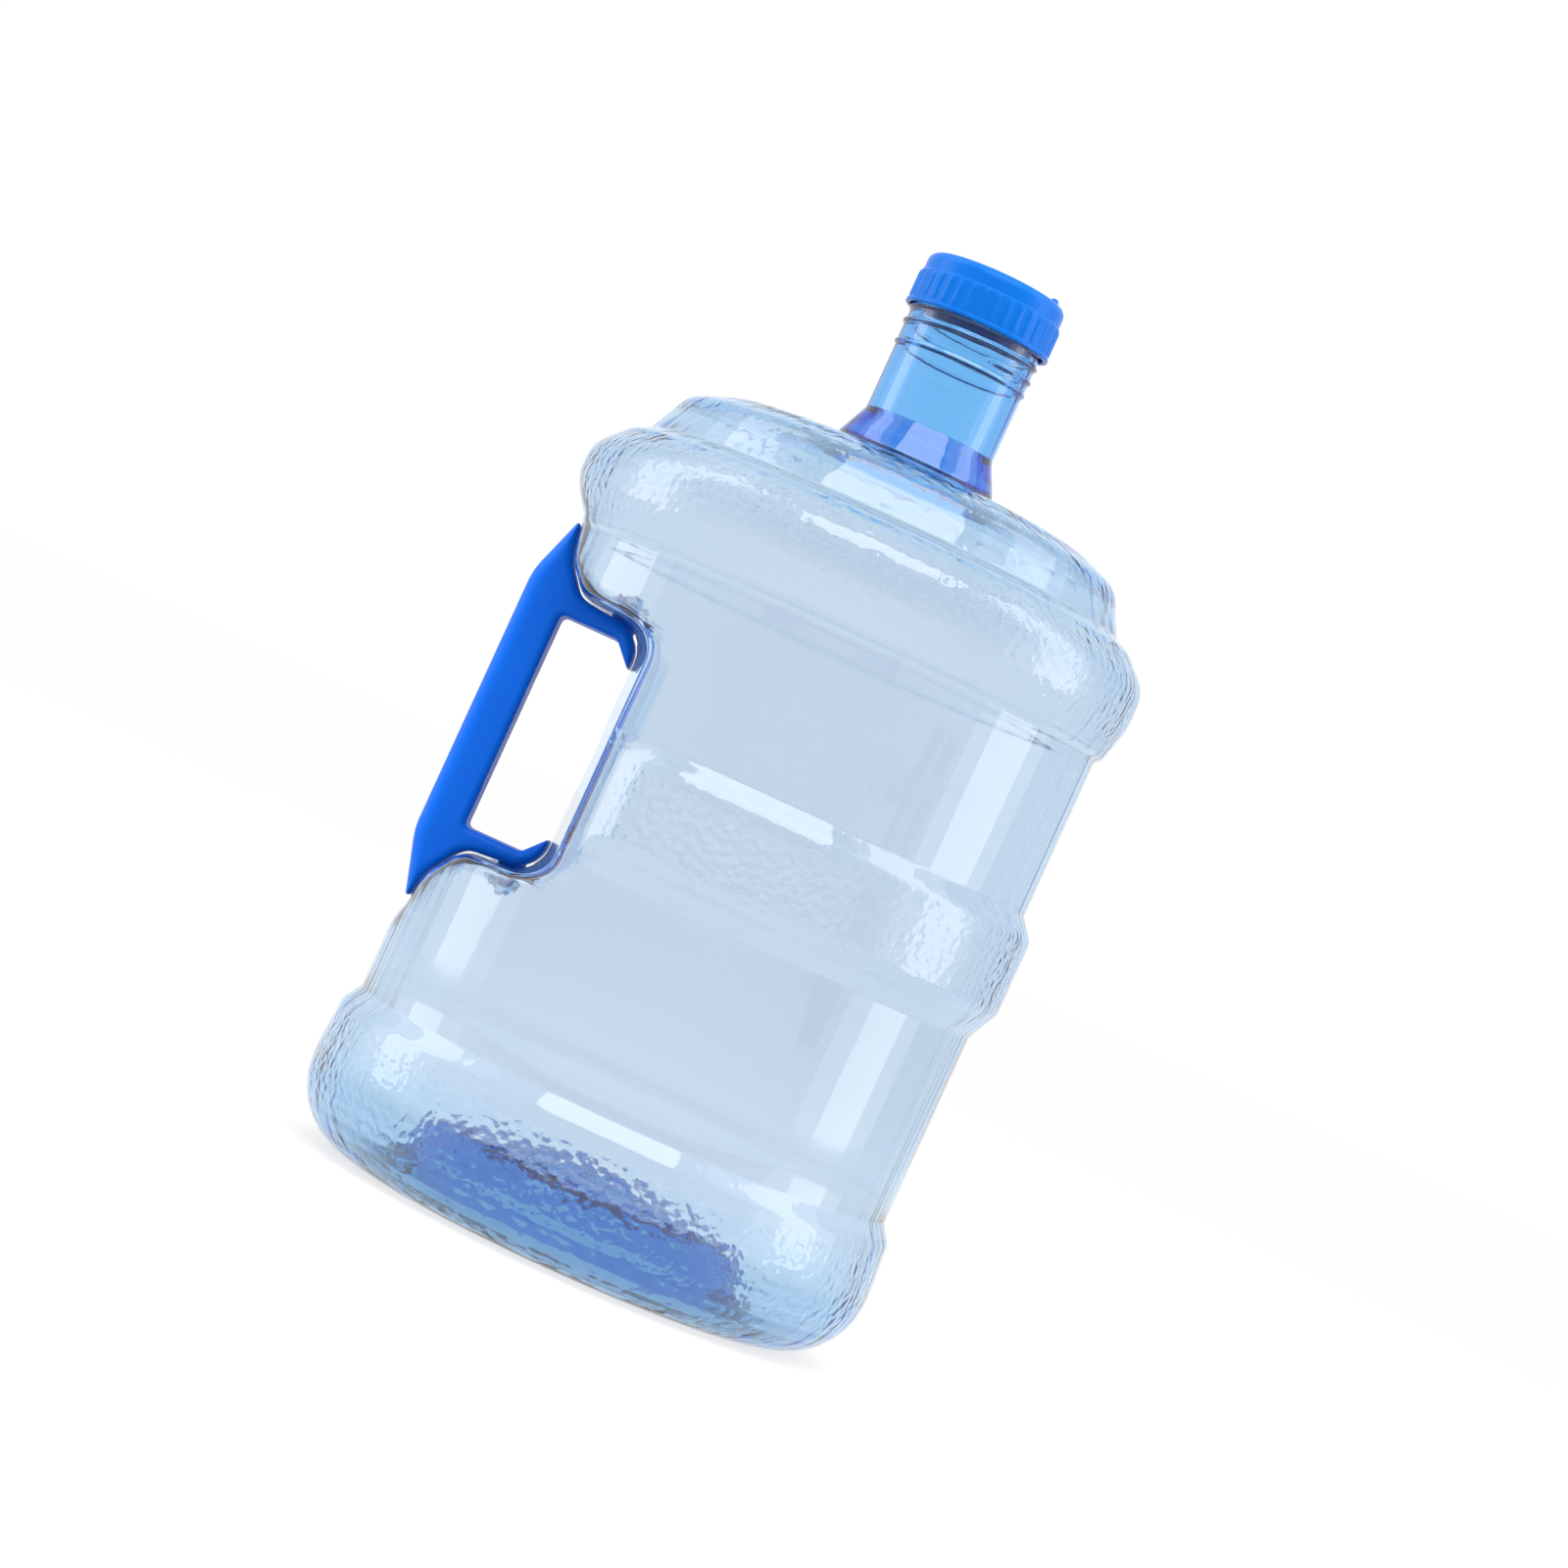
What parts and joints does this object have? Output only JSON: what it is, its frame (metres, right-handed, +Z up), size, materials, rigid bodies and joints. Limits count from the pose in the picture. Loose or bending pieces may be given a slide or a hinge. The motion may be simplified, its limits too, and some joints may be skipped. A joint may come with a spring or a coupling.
{
  "type": "large water jug",
  "caption": "Clear ribbed-waist water jug with a snap-in side grip handle and a ribbed screw cap over a tall narrow neck.",
  "frame": {"origin": "centre of the flat ring that the jug stands on", "axes": "+Z up along the neck; the handle is on the -X side; the mould's parting plane is Y = 0"},
  "size_m": [0.2016, 0.2016, 0.356],
  "materials": {
    "clear_shell": "clear pale blue polycarbonate, glossy, finely pebbled on the bulges and the middle band",
    "grip_plastic": "satin moulded blue polypropylene",
    "cap_plastic": "semi-gloss moulded azure polyethylene",
    "liner_foam": "soft white closed-cell sealing disc"
  },
  "bodies": {
    "bottle": {"bottle": "clear_shell", "handle": "grip_plastic"},
    "liner": {"cap_liner": "liner_foam"},
    "cap": {"cap": "cap_plastic"}
  },
  "joints": [
    {"name": "cap_lift", "type": "slide", "parent": "bottle", "child": "liner", "axis": [0, 0, 1], "range_m": [0, 0.0202]},
    {"name": "cap_turn", "type": "hinge", "parent": "liner", "child": "cap", "pos_m": [0, 0, 0.334], "axis": [0, 0, 1], "range_deg": [0, 1440]}
  ],
  "couplings": [
    {"joint": "cap_lift", "follows": "cap_turn", "m_per_rad": 0.00079577}
  ]
}
